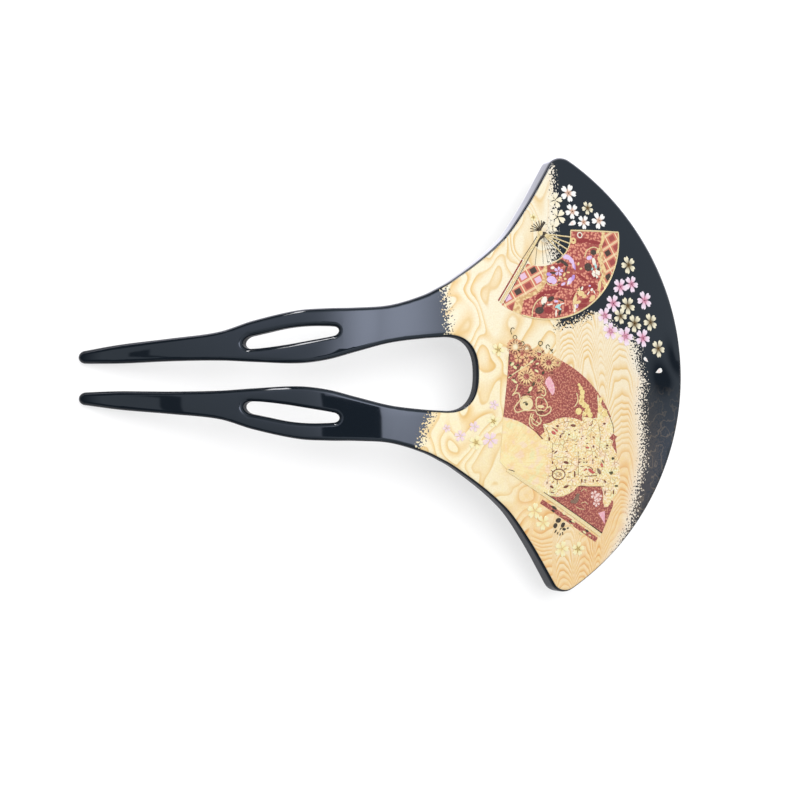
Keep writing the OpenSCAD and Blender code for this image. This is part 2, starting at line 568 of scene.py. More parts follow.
# Columns of tall arches in the marbled ground: u of the middle, half width, height
COLUMNS = [(37.9, 2.3, 6), (42.9, 2.7, 8.5), (46.4, 0.8, 2.5), (51, 3.8, 12), (57.6, 2.8, 7)]
COLUMN_SPAN = (35, 60)
# The swirls give way to arches at this u, and on the lower side at a slanting line through the second u
ARCHES_START = 35.5
LOW_ARCHES_START = 41
# Places across an arch, as shares of its half width
ARCH_SHARES = (-0.97, -0.8, -0.45, 0, 0.45, 0.8, 0.97)
# Lines of the marbling counted up from the lower rim: y at an arch's top, count
ARCH_COUNT = [
    (-50, 0), (-45, 2.5), (-30, 11.5), (-26, 15), (-22, 17.5), (-16, 20), (-12, 22.5), (-9.5, 24.7),
    (-7, 26.5), (-4, 28), (0, 29.5), (4, 30.8), (8, 33.6), (14, 37), (22, 40),
]
# Where the lines of the marbling are strongest: u, y, reach
STRONG = [
    (51.8, -8, 3.2), (38, 7, 2.6), (42.8, 4.5, 3), (37.5, -40, 4), (53, -24.5, 3), (17, -9, 4),
    (15.5, 18, 4.5), (26, 27, 3.5), (21.5, 2, 3), (26.5, -33, 3.5), (45, -38, 3), (32, 12, 3),
]


def stacked_arches(made, u, y):
    """How many lines a place is up from the lower rim, counted along the arches."""
    rows = [(middle + half * share, height * (1 - math.sqrt(1 - share * share)))
            for middle, half, height in COLUMNS for share in ARCH_SHARES]
    return made.through(y + made.through(u, rows, COLUMN_SPAN), ARCH_COUNT)


def ground_cover(made, u, y, h, grain):
    """A mask of the gold ground, and each place's distance inside its limit towards the rim."""
    right = made.through(y, GROUND_RIGHT) - u
    left = u - made.through(y, GROUND_LEFT, ACROSS_HEAD)
    round_fan = (from_point(u, y, FAN_OUTER) - (FAN_OUTER_R + FAN_CLEARANCE)).higher(UNDER_FAN - u)
    cover = speckled(right, RIM_POWDER, grain).lower(speckled(left, LEG_POWDER, grain))
    cover = cover.lower(speckled(round_fan, FAN_POWDER, grain))
    return cover * h.above(TOP - GROUND_DEPTH, 0.06), right


def marbling(made, u, y, share):
    """The marbled lines and their darker edges, from swirls at share 0 to stacked arches at share 1."""
    warp = (made.drift(u * 0.1, y * 0.08, 2.2, 0.0) - 0.5) * 6
    broad = made.drift(u * 0.11, y * 0.075, 3.1, 0.6, 0.4, 0.9)
    phase = (made.drift(u * 0.2, y * 0.14, 7.0, 0.5) - 0.5) * 3.5
    arches = stacked_arches(made, u + warp * 0.35, y + warp * 1.2) + phase
    stripe = ((broad * 10) * (1 - share) + arches * share).fraction()
    strength = made.drift(u * 0.11, y * 0.09, 5.0).above(0.48, 0.2) * 0.35 + 0.45
    for place_u, place_y, reach in STRONG:
        strength = strength.higher(from_point(u, y, (place_u, place_y)).below(reach, reach))
    line = stripe.above(0.1, 0.1) * stripe.below(0.42, 0.5)
    edge = stripe.above(0.07, 0.08) * stripe.below(0.2, 0.1)
    return line * strength, edge * strength


def ground_gold(made, u, y, right):
    """Colour of the gold ground, which is paler towards the upper fan and warmer towards the lower rim."""
    share = u.above(ARCHES_START, 1).higher((u - y * 0.35).above(LOW_ARCHES_START, 1))
    line, edge = marbling(made, u, y, share)
    warm = (made.drift(u * 0.09, y * 0.06, 8.0) - 0.44) * 4
    warmth = (warm * 0.8 + (u - 42) * 0.035 - (y + 8) * 0.035).clamp()
    flat = made.join(u, y)
    cloud = made.noise(flat, 0.9, 2.0, 0.6).above(0.5, 0.2)
    fine = made.noise(flat, 3.0, 1.0, 0.6).above(0.5, 0.3)
    gold = made.mix(share, seen(254, 243, 200), seen(253, 238, 200))
    gold = made.mix(warmth * 0.85, gold, seen(252, 218, 154))
    gold = made.mix(cloud * 0.2, gold, seen(254, 243, 230))
    gold = made.mix(y.above(2, 24) * 0.5, gold, seen(255, 249, 230))
    gold = made.mix(line, gold, made.mix(warmth, seen(242, 200, 122), seen(236, 172, 90)))
    gold = made.mix(edge * 0.5, gold, made.mix(warmth, seen(226, 184, 108), seen(222, 158, 84)))
    pale = right.below(2.0, 3.0).higher((y - 40) * 0.25)
    gold = made.mix(pale.clamp() * 0.75, gold, seen(253, 250, 240))
    return made.mix(fine * 0.22, gold, seen(226, 192, 142))


def lacquer_with_ground():
    """Black lacquer, with a powdered gold ground on the head that is marbled like flowing water."""
    made = finish("lacquer")
    u, y, h = made.plan()
    grain = ((made.noise(made.join(u, y), 2.3, 1.5, 0.6) - 0.5) * 3 + 0.5).clamp()
    ground, right = ground_cover(made, u, y, h, grain)
    beyond = (0 - y).above(8, 14) * u.above(52, 4) * (1 - ground) * h.above(TOP - 0.1, 0.05)
    dust = speckled(right + RIM_POWDER, DUST, grain) * beyond
    vein = abs(made.drift(u * 0.35, y * 0.3, 4.0, 2.0) - 0.5).below(0.02, 0.02) * beyond
    base = made.mix(ground, LACQUER, ground_gold(made, u, y, right))
    base = made.mix(dust * 0.13, base, seen(140, 118, 92))
    base = made.mix(vein * 0.3, base, seen(150, 132, 106))
    return made.surface(Base_Color=base, Roughness=ground * 0.3 + 0.04)


def fan_paper():
    """Brick paper of the upper fan: beaded, with a lattice of small squares at both ends."""
    made = finish("fan_paper")
    u, y, _ = made.plan()
    flat = made.join(u, y)
    cell = made.node("ShaderNodeTexVoronoi", {"voronoi_dimensions": "2D"},
                     {"Vector": flat, "Scale": 1.7, "Randomness": 0.85}, "Distance")
    beaded = made.drift(u * 0.3, y * 0.3, 5.0).above(0.42, 0.06)
    colour = made.mix(cell.below(0.4, 0.14) * (beaded * 0.85 + 0.12), BRICK, SALMON)
    radius = from_point(u, y, FAN_PIVOT)
    turn = (y - FAN_PIVOT[1]).turn_from(u - FAN_PIVOT[0])
    left = LATTICE_TURN - turn - made.through(radius, FAN_LATTICE_LEFT)
    right = u - made.through(y, FAN_LATTICE_RIGHT)
    on_right = right.above(0, 0.1)
    lattice = left.above(0, 0.8).higher(on_right)
    row_u, row_y = LATTICE_ROW
    along = (u * row_u + y * row_y - 1.1 + on_right * 0.53) / SQUARE_LENGTH
    across = (y * row_u - u * row_y - 0.77 + on_right * 3.07) / SQUARE_WIDTH
    in_along = abs(along.fraction() - 0.5)
    in_across = abs(across.fraction() - 0.5)
    kind = (along.floor() + across.floor()).math("FLOORED_MODULO", 3)
    square = made.mix(kind.above(0.5, 0.1) * (1 - on_right), BRICK, PINK)
    square = made.mix(kind.above(1.5, 0.1), square, DARK)
    ties = in_across.above(0.4, 0.03) * in_across.below(0.45, 0.03)
    ties = ties.higher(in_across.above(0.475, 0.03)).higher(in_along.above(0.455, 0.03))
    woven = made.mix(ties, seen(214, 128, 104), CREAM)
    woven = made.mix(in_along.higher(in_across).below(0.27, 0.03), woven, square)
    colour = made.mix(lattice, colour, woven)
    edge = abs(left).below(3.2, 0.8).higher(abs(right).below(0.4, 0.1))
    ripple = made.drift(u * 1.3, y * 1.3, 2.0).above(0.5, 0.1)
    colour = made.mix(edge, colour, made.mix(ripple, seen(244, 216, 160), seen(214, 170, 118)))
    return made.surface(Base_Color=colour, Roughness=ENAMEL)


def sprinkled(name, base, grains, share=0.35, scale=5.0, roughness=ENAMEL, metallic=0.0):
    """One colour, sprinkled with grains of another."""
    made = finish(name)
    u, y, _ = made.plan()
    grain = made.noise(made.join(u, y), scale, 2.0, 0.6)
    colour = made.mix(grain.above(0.56, 0.1) * share, base, grains)
    return made.surface(Base_Color=colour, Roughness=roughness, Metallic=metallic)


def shaded_petals(name, centre, rim, reach=0.75):
    """Petals that change colour from their flower's centre outwards."""
    made = finish(name)
    x, y, _ = made.stored("own")
    out = (x * x + y * y) ** 0.5
    colour = made.mix(out.above(reach / 2, reach), centre, rim)
    return made.surface(Base_Color=colour, Roughness=ENAMEL)


def make_body():
    """The moulded pin: head, neck and two slotted legs in one piece."""
    half = half_outline()
    loops = [half + mirrored(half)[::-1][1:-1], slot_outline(), mirrored(slot_outline())]
    loops = [[(along(s), y) for s, y in loop] for loop in loops]
    body = flat_plate("pin_body", loops, THICKNESS, EDGE_R)
    cut_across(body, (1, 0, 0), BODY_CUTS)
    cut_across(body, (0, 1, 0), BODY_CUTS_ACROSS)
    smooth(body)
    lay(body, thins=True)
    body.data.materials.clear()
    body.data.materials.append(lacquer_with_ground())
    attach(body, "root")
    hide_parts("hairpin")


# Decoration. Half outline of a petal of a blossom of radius 1
PETAL = [(0.08, 0), (0.2, 0.08), (0.4, 0.2), (0.64, 0.3), (0.84, 0.28), (0.97, 0.14), (0.84, 0)]
LOOSE_PETAL = [(-1, 0), (-0.4, 0.28), (0.2, 0.5), (0.7, 0.48), (1, 0.2), (0.9, 0)]
# Blossoms are rows of u, y, turn and radius, and spots of u, y, turn, half length and half width
WHITE_BLOSSOMS = [
    (39.2, 38.5, -4, 2), (39.9, 34.6, -20, 1.75), (42.6, 32.4, -13, 1.6), (46.5, 32.9, -30, 1.9),
]
CREAM_BLOSSOMS = [(36.3, 33.3, -30, 2), (35.9, 36.8, 10, 1.8), (35, 31.2, 20, 1.3)]
GOLD_BLOSSOMS = [
    (43.8, 35.5, -25, 1.5), (53.8, 23.6, -32, 2), (53.2, 14.8, -18, 2), (51.1, 12.5, -5, 1.8),
    (54.9, 11, -25, 2), (59.4, 11.4, -30, 2), (61.5, 5.7, -10, 2),
]
PINK_BLOSSOMS = [
    (51.3, 18.8, -10, 1.95), (54.4, 19.5, -8, 1.9), (57.9, 16.1, -30, 2.1), (49.3, 15.2, -7, 2),
    (47, 12.5, -7, 1.9), (48.4, 9.2, 15, 2), (52.3, 8.2, -5, 2.2), (57.1, 7.9, -8, 2.1),
]
FAINT_BLOSSOMS = [
    (30.2, -28.8, 10, 1.8), (32.2, -31.3, -20, 1.7), (36.8, -37, 0, 1.8), (30.6, 33, 10, 0.9),
    (22, 5, -10, 1.5), (20.9, -9.9, 30, 1.3), (17.1, -14.3, 0, 1.6), (40.8, -37.1, 10, 1.6),
]
LILAC_BLOSSOMS = [
    (16.8, -11, 0, 1.2), (13.8, -12.9, 20, 1.3), (20.2, -13.8, -15, 1.8), (11, -11.3, 40, 0.9),
    (21, -6.5, 0, 1.1),
]
# Loose petals: u, y, turn, half length
LOOSE_PETALS = [(39.7, 32, 25, 1), (57.9, 3.2, 140, 0.75), (61.6, 0.8, 20, 1)]

# Squares of the lattice on the upper fan's leaf, and the direction of their rows
SQUARE_LENGTH = 2.65
SQUARE_WIDTH = 2.2
LATTICE_ROW = (0.870, 0.492)
# Its two zones: degrees past this direction, by distance from the pivot; and u by y
LATTICE_TURN = -80
FAN_LATTICE_LEFT = [(7, 3), (10.2, 7.5), (11.9, 13), (13.5, 22), (14.9, 30), (19, 29)]
FAN_LATTICE_RIGHT = [
    (10, 48), (18, 47.6), (20, 46.9), (22.5, 47.4), (24, 46.6), (25.5, 47), (27.2, 46.5), (28.8, 47.2),
    (32, 47.8),
]
FAN_RIBS = [
    [(33.2, 29.5), (39.2, 29.1)], [(33.2, 29.4), (38.9, 27.7)], [(33.1, 29.3), (38.3, 26.4)],
    [(33, 29.2), (37.2, 25.2)],
]
FAN_CREASES = [
    [(33, 29), (36.3, 24.7)], [(32.9, 28.9), (35.5, 24)], [(32.8, 28.8), (34.6, 23.6)],
    [(32.7, 28.7), (33.6, 23.3)], [(32.4, 28.5), (32.5, 23.2)], [(31.2, 26.6), (30.6, 22.8)],
]
FAN_KNOT = [
    [(33.3, 29.4), (32.5, 28.9), (31.8, 28.4), (31.3, 27.6), (31.1, 26.8)],
    [(31.8, 30), (32.2, 30.8), (32.7, 31.5), (33.2, 32.1)],
]
FAN_RIB_ENDS = [
    (29.8, 30), (29.8, 30.6), (30.1, 31.2), (30.6, 31.6), (31.2, 32), (31.8, 32.3), (32.5, 32.4),
]
FAN_GUARD = [(31.8, 29.1), (22.7, 14.8)]
FAN_GUARD_LINES = [[(31.3, 29), (27.7, 24)], [(31.6, 28.3), (23.3, 14.5)]]
FAN_GUARD_SHADE = [[(27.7, 23.9), (22.2, 15.2)]]

# Painted spots of the upper fan's leaf
FAN_LILAC = [
    (38, 24.8, -10, 1.1, 0.55), (39.1, 24.1, -50, 0.95, 0.5), (39.6, 23.1, -78, 0.8, 0.36),
    (34.2, 19.9, 10, 1.05, 0.75), (34.9, 19.5, 50, 0.7, 0.5), (38.6, 19.7, 60, 0.85, 0.5),
    (37, 19, 30, 0.6, 0.28), (43.6, 24.8, 20, 0.75, 0.45), (35.2, 15.3, 0, 0.5, 0.25),
    (40.2, 14.4, 70, 0.5, 0.22), (43.4, 18.8, 10, 0.3, 0.2),
]
FAN_VIOLET = [(33.7, 21, 0, 0.6, 0.4), (39.4, 20.4, 65, 0.75, 0.38), (39.9, 22.7, -85, 0.7, 0.16)]
FAN_WHITE = [
    (44.7, 24, 100, 0.85, 0.45), (45.6, 21.7, 20, 0.6, 0.4), (44.5, 21.2, -40, 0.55, 0.35),
    (34.6, 22.4, 10, 0.5, 0.32), (32.4, 15.4, 60, 0.95, 0.6), (33.7, 14.6, 8, 0.75, 0.16),
    (35.1, 12.8, 85, 0.8, 0.18), (36.6, 14.8, 15, 0.6, 0.13), (39.6, 13.9, 80, 0.95, 0.3),
    (43.9, 18, 40, 0.4, 0.28), (43, 17.2, 50, 0.5, 0.14), (41.5, 18.2, 60, 0.45, 0.22),
    (44.5, 17.5, -60, 0.4, 0.13), (38.2, 19.3, 60, 0.5, 0.22),
]
FAN_TEAL = [
    (45.1, 23.1, 100, 0.6, 0.28), (35.6, 14.3, 25, 0.8, 0.3), (35.8, 13.9, -35, 0.7, 0.26),
    (44.2, 22.4, 60, 0.35, 0.2),
]
FAN_DARK = [
    (44.7, 26, 0, 0.75, 0.6), (43.2, 22.8, 10, 0.95, 0.9), (45.9, 22.5, 20, 0.6, 0.3),
    (37.4, 23.5, -35, 1.15, 0.4), (36.1, 23.7, 20, 0.6, 0.3), (34.7, 21.3, 0, 0.85, 0.24),
    (37.8, 22.2, 65, 0.7, 0.18), (34, 15.8, 25, 0.85, 0.5), (31.3, 13.3, 10, 1.05, 0.75),
    (32.2, 14.4, 60, 0.6, 0.25), (36, 12.9, 65, 0.7, 0.3), (36.4, 15.6, -20, 0.8, 0.18),
    (40.9, 18.1, 40, 0.8, 0.2), (36, 19.3, 30, 0.4, 0.14), (45.2, 20.6, -20, 0.5, 0.14),
]
FAN_DEEP_RED = [
    (42, 28.4, 8, 1.8, 0.5), (45, 28.2, -5, 1.7, 0.4), (31.6, 16.5, 35, 1.5, 0.45),
    (34.2, 17.3, 10, 1.8, 0.42), (44.2, 18.7, -10, 1.2, 0.75), (42.4, 18.3, 30, 0.8, 0.5),
    (41.4, 14.5, 5, 1.4, 0.38), (42.4, 15.6, 20, 1.1, 0.42), (33.4, 13.4, 0, 1, 0.8),
    (37.6, 13.7, 60, 0.85, 0.5), (37.3, 18.4, -8, 1.9, 0.3), (41.6, 20.5, -28, 1.7, 0.32),
    (36.2, 22.9, 15, 1.3, 0.4), (39.2, 16.4, 60, 1.1, 0.25), (44, 20.9, -30, 1.2, 0.4),
]
FAN_GOLD = [
    (41.2, 17.1, 0, 0.85, 0.6), (40.7, 17.8, 60, 0.55, 0.35), (42, 16.5, 30, 0.6, 0.35),
    (39.7, 15.7, 70, 1, 0.42), (40.4, 15.2, 20, 0.75, 0.35), (43.9, 16.1, 40, 1, 0.5),
    (37.3, 21, 60, 0.5, 0.25), (37.5, 20.1, 0, 0.35, 0.25), (36.3, 20.4, 0, 0.35, 0.22),
    (38.3, 21.5, 0, 0.4, 0.2), (36, 19.9, 30, 0.3, 0.2), (45.9, 26.4, 50, 0.8, 0.35),
    (46.1, 24.4, 100, 0.9, 0.32), (46.6, 22.6, 60, 0.8, 0.35), (45.9, 18.8, 75, 1.2, 0.36),
    (46.5, 20.5, 70, 0.8, 0.3), (47.2, 28.6, 60, 0.9, 0.35), (39.8, 28.3, 0, 0.75, 0.7),
    (40.8, 23.4, 60, 0.4, 0.25), (41.4, 22.4, 20, 0.35, 0.22),
]
FAN_GOLD_LINES = [
    [(42.5, 25), (42.9, 26.1), (43.8, 26.8), (45, 27.1), (46.1, 26.7)],
    [(29.6, 12), (29.8, 13.5), (30.5, 14.9), (31.5, 15.8), (32.2, 16.2)],
    [(40, 13.2), (39.3, 14.6), (39.5, 16.2), (40.2, 17.2)],
    [(45, 15.9), (45.9, 17.4), (45.6, 19.2), (46.7, 20.8), (46.2, 22.6), (46.5, 24.6), (45.9, 26.4)],
    [(33, 19.4), (33.5, 18.9), (34.4, 18.7), (35.6, 18.9)],
]
FAN_TOP = [(39.3, 30.5), (45, 30.6), (51.4, 30.6)]
FAN_NECK = [(39.3, 30.5), (39.2, 29), (38.9, 27.6), (38.2, 26.2), (37.2, 25), (36, 24.1), (34.6, 23.3)]
FAN_RING = (41.5, 29.6)
# The corner of the leaf between its top edge and its rim
FAN_CORNER = (51.44, 30.59)
# Its rim's gold line: directions in degrees from the outer arc's centre, and the step along it
FAN_RIM_TURNS = (1.6, -112)
FAN_RIM_PITCH = 1.6
FAN_RIB_ROOT = (32.1, 30.3)
# Small blossoms and spots of the upper fan
FAN_LILAC_BLOSSOM = [(36, 21.7, 10, 1.1)]
FAN_WHITE_BLOSSOM = [(45.1, 21.4, 0, 1.05)]
FAN_RIVET = [(*FAN_PIVOT, 0, 0.5)]
FAN_KNOT_SPOTS = [(33, 29.6, -10, 0.65, 0.4), (32, 30.3, 50, 0.4, 0.3)]
FAN_RED_SPOTS = [(41.6, 29.6, 0, 0.28), (39.8, 28.4, 0, 0.2)]

# Lower fan: the arcs of its leaf, and its gold wash, which carries a court cart between pines
LEAF_OUTER = (25.87, -19.96)
LEAF_OUTER_R = 24.97
LEAF_OUTER_TURNS = (93.4, 24)
LEAF_INNER = (20.9, -23.3)
LEAF_INNER_R = 14.4
LEAF_INNER_TURNS = (38, 81.6)
WASH_INNER_TURNS = (81.6, 42)
LEAF_END = [(23, -9.05), (23.9, -1)]
LEAF_PIVOT = (21.9, -18.6)
# The ribs show up to this far from the pivot, one for each of these degrees
RIBS_END = 11.5
RIB_TURN = 9
WASH_EDGE = [
    (32.2, -12.2), (31.9, -10.6), (33.5, -10.3), (35, -9.5), (36.5, -9.2), (38, -9.2), (39.8, -9.5),
    (41, -10), (41.3, -9), (43.6, -9.4), (44.7, -9.3), (45, -7.7), (44.8, -4.3), (45.4, -5.5), (45.9, -7),
    (47.3, -7.9), (48.4, -9.6), (49, -11), (49.1, -12.5), (47.9, -13.7), (49, -14.3), (48.6, -15.1),
    (50, -17.1), (50.6, -19), (51, -22), (50.3, -25.5), (49, -26.5), (48.7, -27.4), (48, -28.3),
    (47.1, -28.4), (46.6, -27), (46.6, -25.2), (46, -23.9), (40.2, -23.8), (39.4, -24.6), (38.3, -25.3),
    (36.8, -25.8), (35, -25.7), (33, -25.5), (32.3, -25.3), (23.9, -20), (22.3, -18.4),
]
TRIANGLE = [
    (32.4, -25.4), (34, -24.6), (40, -22.6), (46.1, -22.8), (47.6, -26), (49.4, -27.2), (49.3, -28.2),
    (46.8, -33.8), (46.4, -34.1),
]
BRICK_TUFT = [
    (48.6, -12.3), (49.6, -13.2), (50.1, -13.3), (49.5, -14), (49.7, -14.9), (50, -17), (48.4, -16.2),
    (47.4, -14),
]
BAND = [(32, -26.4), (31.4, -27.2), (45.1, -35.8), (45.7, -34.9)]
RIBBED_PETAL = [
    (33.3, -0.5), (33.8, -1.1), (34.4, -2.2), (34.6, -3.3), (34.4, -4.2), (34, -4.5), (33.4, -3.8),
    (32.8, -2.8), (32.3, -2), (32.5, -1.3), (32.9, -0.8),
]
SMALL_FAN = [(45.5, -29.6), (47.2, -29.2), (47.3, -32)]
# Chrysanthemums and small blossoms
CHRYSANTHEMUMS = [(31, 4.2, 5, 1.4), (33.2, 2.4, 12, 1.9), (28.1, -0.6, 0, 1.9), (35.2, 2.3, 20, 0.95)]
ROSY_CHRYSANTHEMUMS = [(25.7, 5.6, 0, 1.75), (30.9, -1.4, 8, 1.3), (28.3, 5.2, 0, 1.05)]
ORANGE_BLOSSOMS = [
    (26.4, 3.3, 10, 1.15), (28, 3.4, 40, 0.95), (29.3, 4.2, 0, 0.8), (31.4, -3.2, 10, 1),
    (28.3, 1.8, 20, 1),
]
RED_FIELD_BLOSSOMS = [(44.4, -25.7, 0, 1), (45.5, -26.2, 20, 0.9), (45, -27.4, 50, 0.9)]
# Leaves among the flowers
CREAM_LEAVES = [
    (25, 2, 40, 0.5, 0.3), (25.6, 1.3, -40, 0.5, 0.3), (25.2, -1.2, 20, 0.45, 0.25),
    (25.6, -1.7, -30, 0.5, 0.25), (29, -3.2, 60, 0.6, 0.35), (29.3, 2.5, 30, 0.45, 0.25),
    (27, 1.2, 50, 0.5, 0.22), (30.4, 0.6, -30, 0.5, 0.25), (30.6, 2.1, 20, 0.4, 0.2),
]
DARK_LEAVES = [
    (24.6, 2.2, 60, 0.35, 0.2), (26.2, 1.8, 20, 0.35, 0.2), (24.6, -0.4, 0, 0.3, 0.2),
    (30, 3, 40, 0.4, 0.2), (29.7, -2.2, 70, 0.5, 0.22), (28.6, -3.9, 20, 0.35, 0.2),
    (31.9, 0.2, 60, 0.4, 0.25), (26.4, 4.9, 0, 0.3, 0.15), (34, 5, 40, 0.25, 0.15),
]
FLOWER_SHADE = [
    (26.4, 1.2, 40, 0.5, 0.2), (25.4, -1, 20, 0.5, 0.18), (29.5, -2.1, 60, 0.5, 0.2),
    (29.9, 1.6, 20, 0.5, 0.22), (28.8, 0.9, 70, 0.4, 0.15), (31.4, 1.3, -30, 0.5, 0.2),
    (26.8, -2.9, 60, 0.5, 0.15), (31, -3.9, 10, 0.7, 0.22), (27.6, -4.4, 10, 0.5, 0.15),
    (24.4, 3.4, 80, 0.7, 0.16), (29.2, 4.9, 10, 0.4, 0.15), (30, 3.1, 50, 0.5, 0.16),
    (31.9, 4.7, 30, 0.35, 0.16), (26.9, 6.3, 30, 0.4, 0.14), (27.2, 2.4, 60, 0.5, 0.14),
    (25.6, 4.6, 10, 0.4, 0.12), (26.2, -7, 60, 0.35, 0.16), (28.9, -4.6, 10, 0.3, 0.1),
    (32.8, -7.4, 40, 0.3, 0.12), (30.2, -9.6, 60, 0.5, 0.14), (24.9, -3.2, 50, 0.4, 0.14),
    (31.9, -5.2, 30, 0.25, 0.1), (28.2, 3.2, 0, 0.35, 0.12), (33.9, 0.2, 0, 0.4, 0.14),
]
STEMS = [
    [(24.1, -0.9), (26, 0.4), (28, 1.6), (29.8, 2.9)], [(26.2, -2.2), (25.7, -3.6), (25, -4.6)],
    [(31.9, -2.6), (32.4, -3.6), (32.2, -4.6), (31.4, -4.4)], [(25, -4.4), (26.3, -4.1), (26.7, -5.2)],
    [(26.9, -5.2), (25.6, -7.8), (27.6, -7.7), (30, -7.7)], [(26.9, -5), (28.4, -4.7), (29.4, -4.9)],
    [(30.6, -5), (30.3, -6.2), (30.6, -7.4), (32.6, -7.4), (32.4, -5.6), (31.4, -5), (30.6, -5)],
    [(30.1, -7.5), (30.6, -8.5), (31.5, -8.8), (32.6, -8.6), (33.6, -7.8), (33.5, -7), (32.6, -7.4)],
    [(30.6, -7.9), (31.3, -7.7), (32, -7.9)], [(29.2, -8.3), (28.8, -9.8), (29, -10.9), (29.7, -11.5)],
    [(29.6, -8.4), (29.4, -10.2), (30.4, -10.9)], [(31, -9), (31.4, -10), (30.4, -11)],
    [(29, -9), (30, -9.8), (31.2, -10.6)],
]
CURLS = [
    [(25, 8.2), (24.8, 9), (25.2, 9.6), (25.6, 9.4)], [(32.8, 5.3), (32.7, 5.8), (33.1, 6.1), (33.5, 5.7)],
    [(25.6, 7.3), (25.5, 6.8)], [(31.4, 6), (31.2, 5.5)], [(27.3, 5.9), (27.1, 5.4)],
    [(33.4, 5.4), (34.2, 4.4)],
]
CURL_RINGS = [(25.7, 7.6, 0.4), (27.3, 6.3, 0.42), (31.4, 6.4, 0.45)]
# Gold spots among the flowers, and dark marks on them and on the wheel
FLOWER_HEARTS = [(28.1, -6.3, 0, 1.5), (31.3, -6.9, 0, 0.8, 0.35)]
HEART_DARK = [(28.1, -6.35, 0, 0.34), (27.7, -6, 20, 0.5, 0.12)]
HEART_UMBER = [(35.9, -21.1, 0, 0.14), (31.3, -8.05, 0, 0.8, 0.3), (31.5, -6, 0, 0.15, 0.4)]
# Pines
PINE = [
    (40.3, -2.3, 0, 0.35), (40.7, -3, 0, 0.5), (41.1, -3.9, 0, 0.62), (41, -4.9, 0, 0.62),
    (40.9, -5.9, 0, 0.72), (41.6, -6.6, 0, 0.65), (40.2, -7.9, 0, 0.75), (42.4, -7.8, 0, 0.75),
    (43, -8.7, 0, 0.65), (41.6, -8.5, 0, 0.5), (42.3, -6.9, 0, 0.5), (45.6, -5.6, 80, 0.7, 0.4),
    (45.5, -7.4, 70, 0.8, 0.55), (46.7, -8.4, 0, 0.7),
]
PINE_LINES = [
    [(39.7, -4), (40, -4.9), (39.9, -6), (39.2, -7)], [(41.4, -7.8), (41.1, -9.6)],
    [(44.9, -4.4), (45.5, -5.6), (46, -7), (47.4, -7.8)],
]
# Marks on the cart and round it
CART_MARKS = [
    (38.9, -10.9, -8, 0.65, 0.28), (46.6, -10.55, 0, 0.35, 0.18), (35.2, -11, 0, 0.35, 0.22),
    (33.3, -13.7, 0, 0.2, 0.4), (35.9, -13.2, -20, 0.2, 0.35), (31.5, -13.4, -50, 0.45, 0.12),
    (37.9, -12.8, 0, 0.2, 0.18), (36.8, -12.1, 0, 0.3, 0.06), (39.3, -12, 0, 0.2, 0.1),
    (40.4, -12.3, 0, 0.2, 0.1), (41.2, -13.2, 20, 0.3, 0.08), (40.9, -13.7, 0, 0.15, 0.1),
    (42.2, -13.7, 0, 0.15, 0.1), (43.9, -13.4, -40, 0.25, 0.15), (42.3, -14.7, 0, 0.2, 0.1),
    (43.9, -15.4, 0, 0.22, 0.25), (47.4, -15.2, 0, 0.3, 0.18), (47.3, -15.8, 0, 0.2, 0.12),
    (34.2, -16.3, 30, 0.3, 0.12), (34.8, -16.5, 40, 0.45, 0.15), (37.4, -16.4, 0, 0.35, 0.08),
    (39.6, -14.9, 0, 0.2, 0.08), (40.6, -18, 0, 0.25, 0.12), (40.5, -18.7, 0, 0.25, 0.12),
    (41.6, -17.9, 0, 0.2, 0.12), (41.6, -18.7, 0, 0.2, 0.12), (42.3, -18.7, 60, 0.25, 0.1),
    (43.8, -18.3, 0, 0.1, 0.35), (43.8, -18.9, 0, 0.2, 0.1), (34.1, -18.7, 0, 0.15, 0.3),
    (41.2, -19.6, 0, 0.5, 0.06), (44.5, -17.6, -50, 0.25, 0.12), (41.1, -22.6, 0, 0.12, 0.4),
    (42, -22.5, 0, 0.3, 0.12), (42, -22.9, 0, 0.25, 0.1), (44, -22.7, 0, 0.12, 0.35),
    (45, -22.7, 20, 0.3, 0.15), (47, -22.9, 30, 0.2, 0.35), (49.3, -25.2, 0, 0.12, 0.5),
    (47.1, -25.2, 0, 0.12, 0.4), (32.9, -22.9, 0, 0.1, 0.3), (34.2, -25, 0, 0.5, 0.1),
    (39.4, -21.2, 0, 0.17, 0.7), (37.3, -18.7, -15, 0.6, 0.28), (37.4, -23.8, 15, 0.65, 0.26),
    (34, -23.8, -30, 0.5, 0.22),
]
CART_RED = [
    (34.3, -12.4, -30, 0.6, 0.35), (34.9, -11.9, -30, 0.5, 0.2), (42.4, -15.6, -10, 0.45, 0.22),
    (43.4, -20.6, -35, 0.85, 0.35), (44, -20.9, 0, 0.5, 0.14), (46.1, -19.4, -60, 0.5, 0.3),
    (42, -20.3, 20, 0.5, 0.15),
]
CART_GREY = [(45.4, -20.7, -60, 0.75, 0.35), (36.4, -12.6, 20, 0.5, 0.12), (46.4, -18.6, -50, 0.5, 0.15)]
GREEN_STONES = [
    (48.9, -18, 10, 0.36, 0.3), (48.6, -21.1, 20, 0.42, 0.35), (50, -23.9, 0, 0.45, 0.2),
    (48.2, -21, 0, 0.2, 0.15),
]
